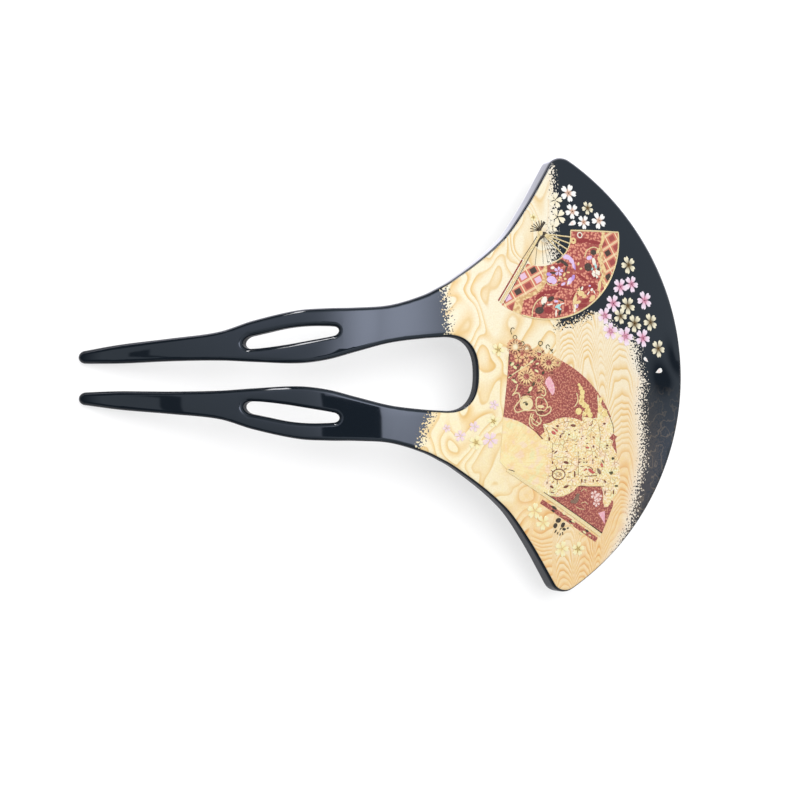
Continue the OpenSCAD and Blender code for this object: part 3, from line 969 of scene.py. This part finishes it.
CART_LINES = [
    [(43.6, -9.9), (43.4, -10.8), (42.8, -10.9)], [(34, -11.3), (34.9, -11.8)],
    [(30.4, -12), (31, -13), (31.8, -13.6)], [(42.5, -19.6), (43.4, -19.9), (43.9, -20.4)],
    [(42, -21.7), (44.9, -21.6)], [(40.2, -23.75), (46.8, -23.9)], [(35, -19.6), (35.1, -20.1)],
    [(36.3, -19.3), (36.2, -19.9)], [(37.4, -19.9), (36.9, -20.3)], [(38.6, -20.7), (37.9, -20.9)],
    [(38.4, -21.8), (37.6, -21.8)], [(35.3, -22.4), (35.3, -23.3)], [(34.5, -22.6), (34.1, -22.9)],
    [(34.3, -20.7), (33.9, -20.3)], [(33.8, -21.5), (33.3, -21.5)],
]
CART_THIN_LINES = [
    [(32, -10.8), (33, -12.2), (33.4, -14)], [(35.4, -10.5), (37, -10.1), (38.8, -10)],
    [(34.4, -17.4), (36.2, -17.6), (37.6, -17.4)], [(34.1, -14.6), (34, -17.8)],
    [(36.6, -14.2), (38.6, -14), (40.2, -14.4)], [(40.3, -16.4), (40.3, -21.4)],
    [(45.2, -10.6), (45.6, -13.4), (45.4, -16.2)], [(36.9, -11.6), (38.2, -11.9)],
]
WHEEL = (35.6, -21.2)
WHEEL_RIM = [
    (31.9, -25.1), (34, -25.6), (36.5, -25.7), (38.2, -25.1), (39.3, -24.5), (40.2, -23.7), (43, -23.75),
    (46.6, -23.8),
]
WHEEL_SQUASH = 0.73
GUARD = [(23.9, -20), (46.4, -34.4)]
GUARD_WIDTH = 0.8
GUARD_LINES = [[(32.2, -24.9), (40, -29.8), (46.7, -33.9)], [(24.2, -20), (25.5, -20.4)]]
WASH_LINE = [(47.3, -8), (48.3, -9.7), (48.9, -11.2), (49, -12.5)]
# Band below the guard
BAND_DARK = [
    (34.7, -28.2, -31, 0.7, 0.28), (34.5, -28.9, -31, 0.4, 0.2), (42.8, -33.3, -31, 0.5, 0.2),
    (38.6, -31.2, -31, 0.4, 0.2),
]
BAND_CREAM = [
    (39.3, -31.2, -31, 0.5, 0.2), (39, -32, -31, 0.4, 0.15), (42.2, -33.6, -31, 0.5, 0.2),
    (41.3, -33.9, -31, 0.4, 0.15), (43.6, -34.3, -31, 0.4, 0.12), (37, -29.6, -31, 0.35, 0.12),
]
DARK_FLOWER = [
    (35.8, -30.9, 20, 0.62, 0.5), (35.1, -32, 70, 0.55, 0.45), (36.9, -31.9, 60, 0.6, 0.42),
    (37.2, -32.8, 0, 0.4, 0.3), (38.1, -32.6, 30, 0.25, 0.15), (35.2, -33.2, 60, 0.4, 0.12),
    (35.7, -33.6, 70, 0.3, 0.08), (36.3, -33.9, 80, 0.3, 0.08), (36.9, -33.7, 95, 0.35, 0.08),
    (36.4, -32.7, 50, 0.25, 0.12),
]
RED_FIELD_LINES = [
    [(40, -28.1), (40.5, -28.4), (41, -28.6), (42, -28.7)], [(41, -24.9), (42, -24.4), (42.4, -24.9)],
    [(41.2, -27.4), (42.3, -27.2), (42.8, -27.7)],
]
RED_FIELD_GREY = [(39.9, -26.6, 60, 0.95, 0.6), (40.3, -25.6, 0, 0.5, 0.3), (39, -27, 0, 0.5, 0.4)]


def petal_loop(rows, turn=0.0):
    """Outline of a petal from its half outline, turned about its flower's centre."""
    sine, cosine = math.sin(math.radians(turn)), math.cos(math.radians(turn))
    return [(x * cosine - y * sine, x * sine + y * cosine) for x, y in rows + mirrored(rows)[-2:0:-1]]


def polar(radius, turn, squash=1.0):
    return (radius * math.cos(math.radians(turn)), radius * squash * math.sin(math.radians(turn)))


def master(name, loops):
    """A small flat shape to be copied."""
    return note_own_place(flat_plate(name, loops, RELIEF, STAMP_EDGE))


def make_stamens():
    """The short rays at the centre of a blossom."""
    rays = [[polar(0.08, 36 * i), polar(0.45 if i % 2 else 0.3, 36 * i)] for i in range(10)]
    note_own_place(drawn("stamens", rays, 0.075, 2.0, soft=False))


def make_petal_gaps():
    """The dark gaps between a chrysanthemum's petals."""
    gaps = [[polar(0.52, 30 * i + 15), polar(0.84, 30 * i + 15)] for i in range(12)]
    drawn("petal_gaps", gaps, 0.15, 1.2, soft=False)


PETAL_COUNT = 14


def make_chrysanthemum():
    """A round flower whose petals are parted by narrow slits."""
    turns = np.arange(0, 360, 360 / PETAL_COUNT / 6)
    rim = [polar(1 + 0.06 * math.cos(math.radians(PETAL_COUNT * turn)), turn) for turn in turns]
    slits = []
    for i in range(PETAL_COUNT):
        middle = 360 / PETAL_COUNT * (i + 0.5)
        slits.append([Vector(polar(0.6, middle)) + Vector(polar(0.2, middle)) * math.cos(a)
                      + Vector(polar(0.055, middle + 90)) * math.sin(a)
                      for a in np.arange(0, 2 * math.pi, math.pi / 4)])
    master("chrysanthemum", [rim] + slits)


SMALL_SHAPES = ("spot", "blossom", "loose_petal", "stamens", "petal_gaps", "chrysanthemum")


def make_small_shapes():
    """The shapes that are stamped many times."""
    master("spot", [[polar(1, turn) for turn in range(0, 360, 30)]])
    master("blossom", [petal_loop(PETAL, 72 * i) for i in range(5)])
    master("loose_petal", [petal_loop(LOOSE_PETAL)])
    make_stamens()
    make_petal_gaps()
    make_chrysanthemum()


def follow(plate):
    """Cut a flat piece both ways, so that it can follow the arch and the crown."""
    for axis, pitch in enumerate(PIECE_CUTS):
        low = min(vertex.co[axis] for vertex in plate.data.vertices)
        high = max(vertex.co[axis] for vertex in plate.data.vertices)
        cut_across(plate, (1 - axis, axis, 0), range(math.ceil(low), math.ceil(high), pitch))
    return plate


def bar(name, start, end, width, thickness):
    """A straight flat bar that can follow the arch."""
    side = Vector((start[1] - end[1], end[0] - start[0])).normalized() * (width / 2)
    corners = [Vector(start) - side, Vector(end) - side, Vector(end) + side, Vector(start) + side]
    return follow(flat_plate(name, [[tuple(corner) for corner in corners]], thickness, THIN_EDGE))


def ring(centre, radius, squash=1.0):
    """A closed stroke round a place."""
    places = [polar(radius, turn, squash) for turn in (*range(0, 360, 30), 0)]
    return [(centre[0] + u, centre[1] + y) for u, y in places]


def make_blossoms():
    """Blossoms all over the head, with stamens in most of them."""
    white = shaded_petals("white_enamel", seen(252, 220, 208), seen(255, 255, 252), 0.5)
    cream = shaded_petals("cream_enamel", seen(252, 238, 200), seen(253, 246, 222))
    gold = shaded_petals("gold_enamel", seen(92, 76, 42), seen(250, 242, 212), 0.7)
    pink = shaded_petals("pink_enamel", seen(238, 172, 202), seen(252, 236, 249), 0.8)
    lilac = shaded_petals("lilac_enamel", seen(236, 206, 240), seen(248, 224, 222))
    faint = shaded_petals("pale_gold_enamel", seen(248, 226, 150), seen(251, 243, 196))
    pieces = [("white_blossoms", WHITE_BLOSSOMS, white), ("cream_blossoms", CREAM_BLOSSOMS, cream),
              ("gold_blossoms", GOLD_BLOSSOMS, gold), ("pink_blossoms", PINK_BLOSSOMS, pink),
              ("lilac_blossoms", LILAC_BLOSSOMS, lilac), ("pale_blossoms", FAINT_BLOSSOMS, faint)]
    for name, rows, enamel in pieces:
        laid(name, stamped("blossom", rows), enamel)
    laid("loose_petals", stamped("loose_petal", LOOSE_PETALS), white)
    centres = [("rose", PINK_BLOSSOMS, seen(222, 140, 168), seen(240, 190, 200), 0.12),
               ("tan", WHITE_BLOSSOMS, seen(236, 190, 160), seen(250, 220, 190), 0.12),
               ("umber", GOLD_BLOSSOMS, seen(120, 92, 48), seen(170, 140, 80), 0.1),
               ("straw", FAINT_BLOSSOMS[3:], seen(214, 184, 110), seen(236, 210, 140), 0.1)]
    for name, rows, base, grains, lift in centres:
        laid(name + "_stamens", stamped("stamens", rows), sprinkled(name + "_line", base, grains), lift)


def make_upper_leaf():
    inner = arc_between(FAN_INNER, FAN_INNER_R, FAN_INNER_TURNS)
    outer = arc_between(FAN_OUTER, FAN_OUTER_R, FAN_OUTER_TURNS)
    leaf = flat_plate("fan_leaf", [inner + outer + [FAN_CORNER]], RELIEF / 2, THIN_EDGE)
    laid("fan_leaf", [follow(leaf)], fan_paper())


def make_upper_painting():
    """The painted spots and the two small blossoms on the upper fan's leaf."""
    painted = [("fan_lilac", FAN_LILAC, seen(228, 198, 240), seen(246, 226, 250)),
               ("fan_violet", FAN_VIOLET, seen(190, 150, 224), seen(214, 190, 240)),
               ("fan_white", FAN_WHITE, seen(250, 244, 226), seen(255, 255, 250)),
               ("fan_teal", FAN_TEAL, seen(170, 226, 222), seen(235, 250, 246)),
               ("fan_dark", FAN_DARK, DARK, seen(104, 92, 80)),
               ("fan_deep_red", FAN_DEEP_RED, seen(150, 52, 52), seen(176, 74, 66)),
               ("fan_gold", FAN_GOLD, seen(240, 208, 146), seen(250, 236, 190))]
    for name, rows, base, grains in painted:
        laid(name, stamped("spot", rows), sprinkled(name + "_enamel", base, grains, 0.5, 3.0))
    lilac = stamped("blossom", FAN_LILAC_BLOSSOM)
    laid("fan_lilac_blossom", lilac, bpy.data.materials["fan_lilac_enamel"])
    white = stamped("blossom", FAN_WHITE_BLOSSOM) + [drawn("fan_ring", [ring(FAN_RING, 0.55)], 0.36, 0.6)]
    laid("fan_white_blossom", white, bpy.data.materials["fan_white_enamel"])


def make_upper_lines(gold, dark):
    """The upper fan's guard, ribs, creases and knot, and the lines round its leaf."""
    rim = arc_between(FAN_OUTER, FAN_OUTER_R, FAN_RIM_TURNS, FAN_RIM_PITCH)
    lines = [drawn("fan_top", [FAN_TOP], 0.36, 0.8), drawn("fan_rim", [rim], 0.36, 0.8),
             drawn("fan_neck", [FAN_NECK], 0.26, 0.8), drawn("fan_guard", [FAN_GUARD], 0.5, 0.6),
             drawn("fan_ribs", FAN_RIBS, 0.3, 0.8), drawn("fan_flowers", FAN_GOLD_LINES, 0.26, 1.0)]
    laid("fan_gold_lines", lines + stamped("spot", FAN_RIVET), gold, 0.08)
    ends = [[FAN_RIB_ROOT, end] for end in FAN_RIB_ENDS]
    lines = [drawn("fan_knot", FAN_KNOT, 0.6, 0.3), drawn("fan_rib_ends", ends, 0.2, 0.6, soft=False),
             drawn("fan_creases", FAN_CREASES, 0.09, 0.6, soft=False),
             drawn("fan_guard_lines", FAN_GUARD_LINES, 0.14, 1.4)]
    laid("fan_dark_lines", lines + stamped("spot", FAN_KNOT_SPOTS), dark, 0.02)
    shade = [drawn("fan_guard_shade", FAN_GUARD_SHADE, 0.3, 0.6)] + stamped("spot", FAN_RED_SPOTS)
    laid("fan_red_lines", shade, bpy.data.materials["fan_deep_red_enamel"], 0.06)


def gold_wash():
    """Gold wash of the lower fan: cream clouds, with the fan's ribs showing faintly round its pivot."""
    made = finish("gold_wash")
    u, y, _ = made.plan()
    flat = made.join(u, y)
    cloud = made.drift(u * 0.35, y * 0.35, 4.0, 2.0).above(0.52, 0.16)
    grain = made.noise(flat, 2.6, 1.5, 0.6)
    tint = made.drift(u * 0.5, y * 0.5, 9.0)
    colour = made.mix(cloud * 0.7, seen(252, 234, 176), seen(250, 213, 150))
    colour = made.mix(tint.above(0.58, 0.1) * 0.5, colour, seen(250, 218, 206))
    colour = made.mix(tint.below(0.4, 0.08) * 0.4, colour, seen(226, 236, 186))
    radius = from_point(u, y, LEAF_PIVOT)
    mottled = radius.above(RIBS_END, 3) * 0.7 + 0.15
    colour = made.mix(grain.above(0.57, 0.08) * mottled, colour, seen(255, 250, 224))
    colour = made.mix(grain.below(0.42, 0.06) * mottled * 0.7, colour, seen(226, 182, 112))
    cell = made.node("ShaderNodeTexVoronoi", {"voronoi_dimensions": "2D", "feature": "DISTANCE_TO_EDGE"},
                     {"Vector": flat, "Scale": 0.85}, "Distance")
    patch = made.drift(u * 0.45, y * 0.45, 3.0).above(0.49, 0.08) * radius.above(RIBS_END, 1.5)
    colour = made.mix(cell.below(0.05, 0.05) * patch * 0.75, colour, seen(176, 118, 70))
    turn = (y - LEAF_PIVOT[1]).turn_from(u - LEAF_PIVOT[0])
    ribs = abs((turn / RIB_TURN).fraction() - 0.5).above(0.45, 0.06)
    ribs = ribs * radius.below(RIBS_END, 1) * radius.above(2.5, 1)
    colour = made.mix(ribs * 0.4, colour, seen(240, 198, 136))
    return made.surface(Base_Color=colour, Roughness=0.33)


def brick_paper():
    """Brick ground of the lower fan, sprinkled with salmon grains."""
    made = finish("brick_paper")
    u, y, _ = made.plan()
    flat = made.join(u, y)
    fine = made.noise(flat, 2.6, 1.5, 0.6).above(0.55, 0.06)
    pit = made.noise(made.join(u, y, 7.0), 2.6, 1.5, 0.6).above(0.57, 0.06)
    broad = made.drift(u * 0.25, y * 0.25, 6.0).above(0.5, 0.2)
    colour = made.mix(broad * 0.4, seen(158, 78, 72), seen(182, 100, 84))
    colour = made.mix(pit * 0.6, colour, seen(126, 54, 52))
    colour = made.mix(fine * 0.7, colour, seen(232, 162, 130))
    return made.surface(Base_Color=colour, Roughness=0.33)


def make_lower_leaf():
    leaf = arc_between(LEAF_OUTER, LEAF_OUTER_R, LEAF_OUTER_TURNS)
    leaf += arc_between(LEAF_INNER, LEAF_INNER_R, LEAF_INNER_TURNS) + LEAF_END
    loops = [leaf, TRIANGLE, BRICK_TUFT, BAND]
    plates = [follow(flat_plate("lower_leaf", [loop], RELIEF / 2, THIN_EDGE)) for loop in loops]
    laid("lower_fan_leaf", plates, brick_paper())
    inner = arc_between(LEAF_INNER, LEAF_INNER_R, WASH_INNER_TURNS)
    wash = flat_plate("wash", [inner + WASH_EDGE], RELIEF * 0.75, THIN_EDGE)
    laid("lower_fan_wash", [follow(wash)], gold_wash())


def make_lower_flowers():
    """Chrysanthemums, small blossoms and leaves on and round the lower fan."""
    cream = shaded_petals("cream_flower_enamel", seen(252, 230, 170), seen(240, 196, 142), 0.9)
    laid("chrysanthemums", stamped("chrysanthemum", CHRYSANTHEMUMS), cream, 0.04)
    rosy = shaded_petals("rosy_flower_enamel", seen(250, 214, 156), seen(232, 176, 130), 0.9)
    flowers = stamped("chrysanthemum", ROSY_CHRYSANTHEMUMS) + stamped("blossom", ORANGE_BLOSSOMS)
    laid("rosy_flowers", flowers, rosy, 0.02)
    petals = [flat_plate("rose_petal", [loop], RELIEF, THIN_EDGE) for loop in (SMALL_FAN, RIBBED_PETAL)]
    petal_rose = sprinkled("petal_rose", seen(240, 176, 190), seen(252, 220, 214), 0.7, 2.2)
    laid("rose_petals", petals, petal_rose)
    pale_rose = shaded_petals("pale_rose_enamel", seen(238, 178, 168), seen(252, 228, 220), 0.9)
    laid("rose_blossoms", stamped("blossom", RED_FIELD_BLOSSOMS), pale_rose)
    leaves = sprinkled("leaf_cream", seen(240, 232, 176), seen(206, 204, 140), 0.5, 3.0)
    laid("cream_leaves", stamped("spot", CREAM_LEAVES + BAND_CREAM), leaves, 0.03)
    olive = sprinkled("olive_line", seen(74, 68, 38), seen(128, 118, 70), 0.5, 3.0)
    rings = [ring((u, y), radius) for u, y, radius in CURL_RINGS]
    curls = [drawn("curls", CURLS + rings, 0.15, 1.2)]
    laid("dark_leaves", curls + stamped("spot", DARK_LEAVES + GREEN_STONES + HEART_DARK), olive, 0.08)


def make_cart(gold):
    """The court cart with its wheel, the pines beside it, and the stems of the flowers."""
    stems = [drawn("stems", STEMS, 0.3, 0.9), drawn("pine_lines", PINE_LINES, 0.26, 1.0),
             drawn("wheel_rim", [WHEEL_RIM], 0.34, 0.8)]
    laid("lower_fan_gold_lines", stems + stamped("spot", FLOWER_HEARTS), gold, 0.05)
    pine = sprinkled("pine_gold", seen(248, 226, 156), seen(206, 160, 88), 0.55, 1.6)
    laid("pines", stamped("spot", PINE), pine, 0.03)
    umber = sprinkled("umber_enamel", seen(116, 62, 48), seen(168, 110, 84), 0.5, 3.0)
    hub = ring(WHEEL, 1.5, WHEEL_SQUASH)
    hub_inner = ring(WHEEL, 0.7, 0.6)
    marks = [drawn("cart_lines", CART_LINES, 0.2, 0.8), drawn("hub", [hub], 0.26, 0.8),
             drawn("thin", CART_THIN_LINES, 0.07, 2.2), drawn("hub_inner", [hub_inner], 0.1, 1.6)]
    marks += stamped("petal_gaps", CHRYSANTHEMUMS + ROSY_CHRYSANTHEMUMS)
    marks += stamped("stamens", ORANGE_BLOSSOMS)
    laid("cart_marks", marks + stamped("spot", FLOWER_SHADE + CART_MARKS + HEART_UMBER), umber, 0.07)
    red = sprinkled("cart_red", seen(196, 90, 84), seen(232, 150, 130), 0.6, 3.0)
    laid("cart_red_marks", stamped("spot", CART_RED), red, 0.06)
    grey = sprinkled("warm_grey", seen(134, 104, 86), seen(168, 140, 112), 0.5, 3.0)
    laid("grey_marks", stamped("spot", CART_GREY + RED_FIELD_GREY), grey, 0.05)


def make_lower_guard(gold, dark):
    """The lower fan's guard, with the dark flower and lines beyond it."""
    bars = [bar("guard", *GUARD, GUARD_WIDTH, RELIEF * 1.2),
            drawn("red_field_lines", RED_FIELD_LINES, 0.16, 1.2)]
    laid("lower_fan_guard", bars, gold, 0.02)
    lines = [drawn("guard_line", GUARD_LINES, 0.22, 1.4), drawn("wash_line", [WASH_LINE], 0.14, 1.6)]
    laid("lower_fan_dark_lines", lines + stamped("spot", DARK_FLOWER + BAND_DARK), dark, 0.06)


# Studio
CAMERA_AIM = Vector((2.74, -5.23, 12.0))
CAMERA_LEAN = Vector((-0.09, -0.015, 1.0)).normalized()
CAMERA_DISTANCE = 420.0
CAMERA_ROLL = math.radians(-0.4)
CAMERA_LENS = 89.0
SENSOR = 36.0


def make_camera():
    data = bpy.data.cameras.new("camera")
    data.lens = CAMERA_LENS
    data.sensor_width = SENSOR
    data.clip_start = 0.01
    data.clip_end = 10
    camera = placed("camera", data)
    right = Vector((0, 1, 0)).cross(CAMERA_LEAN).normalized()
    up = CAMERA_LEAN.cross(right)
    turn = Matrix((right, up, CAMERA_LEAN)).transposed().to_4x4() @ Matrix.Rotation(CAMERA_ROLL, 4, "Z")
    camera.matrix_world = Matrix.Translation((CAMERA_AIM + CAMERA_LEAN * CAMERA_DISTANCE) * MM) @ turn
    bpy.context.scene.camera = camera


TABLE = (0.35, 0.35, 0.35)
TABLE_GLOW = (0.64, 0.64, 0.64)
# What the lacquer mirrors of the table: its colour, and its glow in shade and in sun
MIRRORED_TABLE = (0.24, 0.24, 0.25)
MIRRORED_SHADE = (0.06, 0.06, 0.06)
MIRRORED_SUN = (1.6, 1.6, 1.85)


def make_floor():
    bpy.ops.mesh.primitive_plane_add(size=4)
    floor = bpy.context.object
    floor.name = "floor"
    made = finish("white_table")
    mirrored_ray = made.node("ShaderNodeLightPath", {}, {}, "Is Glossy Ray")
    colour = made.mix(mirrored_ray, TABLE, MIRRORED_TABLE)
    y = made.split(made.node("ShaderNodeTexCoord", {}, {}, "Object"))[1]
    mirrored = made.mix(y.above(0.025, 0.02), MIRRORED_SHADE, MIRRORED_SUN)
    glow = made.mix(mirrored_ray, TABLE_GLOW, mirrored)
    floor.data.materials.append(made.surface(Base_Color=colour, Roughness=0.8, Emission_Color=glow,
                                             Emission_Strength=1.0))


# The room as the pin's light, and as the lacquer mirrors it
ROOM_LIGHT = (0.61, 0.61, 0.62)
ROOM = (0.6, 0.68, 0.78)
GLOW = (4.9, 5.4, 6.8)
SKIRT = (1.0, 1.12, 1.4)
LAMP = (16, 16, 16.6)
UNLIT = (0.06, 0.06, 0.07)


def make_room():
    """A pale room with a soft glow overhead, a bright lamp and a few dark things, all for the lacquer."""
    world = bpy.data.worlds.new("room")
    bpy.context.scene.world = world
    made = Finish(world)
    towards = made.node("ShaderNodeTexCoord", {}, {}, "Generated")
    x, y, z = made.split(towards)
    right = x.turn_from(z)
    far = y.turn_from(z)

    def soft_spot(place, reach):
        """A soft patch of the room: its place and reach are degrees from straight overhead."""
        distance = ((right - place[0]) / reach[0]) ** 2 + ((far - place[1]) / reach[1]) ** 2
        return distance.math("MULTIPLY", -1).math("EXPONENT")

    glow = soft_spot((7, 8), (13, 20)).higher(soft_spot((-1, 8), (8, 20)))
    colour = made.mix(soft_spot((-22, 12), (22, 12)), ROOM, SKIRT)
    colour = made.mix(soft_spot((78, -22), (14, 14)), colour, SKIRT)
    colour = made.mix(glow, colour, GLOW)
    # Dark things, by their limits in degrees
    front = right.above(-12.3, 0.4) * right.below(2.2, 0.4) * far.below(1.0, 0.4) * far.above(-16, 2)
    low_left = abs(right + 50 + far.above(3, 2) * 8.6).below(2.9, 0.8) * far.below(7.6, 1.2)
    low_right = ((soft_spot((78, 6), (3, 4.6)) * 2).higher(soft_spot((82.5, 18), (2.4, 5)) * 1.5)).clamp()
    low = z.below(0.3, 0.1).higher(z.below(0.62, 0.1) * abs(far).above(28, 8))
    horizon = low * x.below(-0.1, 0.2)
    colour = made.mix(front.higher(low_left * 0.95).higher(low_right).higher(horizon), colour, UNLIT)
    lamp = abs(x + 0.548 - y * 0.29).below(0.045, 0.015) * y.above(0.6, 0.04) * y.below(0.93, 0.04)
    colour = made.mix(lamp, colour, LAMP)
    mirrored_ray = made.node("ShaderNodeLightPath", {}, {}, "Is Glossy Ray")
    colour = made.mix(mirrored_ray, ROOM_LIGHT, colour)
    background = made.node("ShaderNodeBackground", {}, {"Color": colour})
    made.node("ShaderNodeOutputWorld", {}, {"Surface": background})
    world.cycles.sampling_method = "NONE"


WINDOW_PLACE = Vector((0.14, 0.26, 1.05))
WINDOW_SIDE = 0.6
WINDOW_POWER = 13


def make_window():
    """The soft main light. The lacquer doesn't mirror it."""
    data = bpy.data.lights.new("window", "AREA")
    data.shape = "RECTANGLE"
    data.size = WINDOW_SIDE
    data.size_y = WINDOW_SIDE
    data.energy = WINDOW_POWER
    light = placed("window", data)
    light.location = WINDOW_PLACE
    light.rotation_mode = "QUATERNION"
    light.rotation_quaternion = (-WINDOW_PLACE).to_track_quat("-Z", "Y")
    light.visible_glossy = False


make_camera()
make_floor()
make_room()
make_window()
bpy.context.scene.view_settings.view_transform = "Standard"

make_body()
gold_line = sprinkled("gold_line", seen(250, 226, 168), seen(255, 246, 214), 0.6, 3.0, 0.3, 0.15)
dark_line = sprinkled("dark_line", seen(58, 46, 32), seen(110, 96, 70), 0.6, 3.0)
make_small_shapes()
make_blossoms()
make_upper_leaf()
make_upper_painting()
make_upper_lines(gold_line, dark_line)
make_lower_leaf()
make_lower_flowers()
make_cart(gold_line)
make_lower_guard(gold_line, dark_line)
for name in SMALL_SHAPES:
    bpy.data.objects.remove(bpy.data.objects[name])
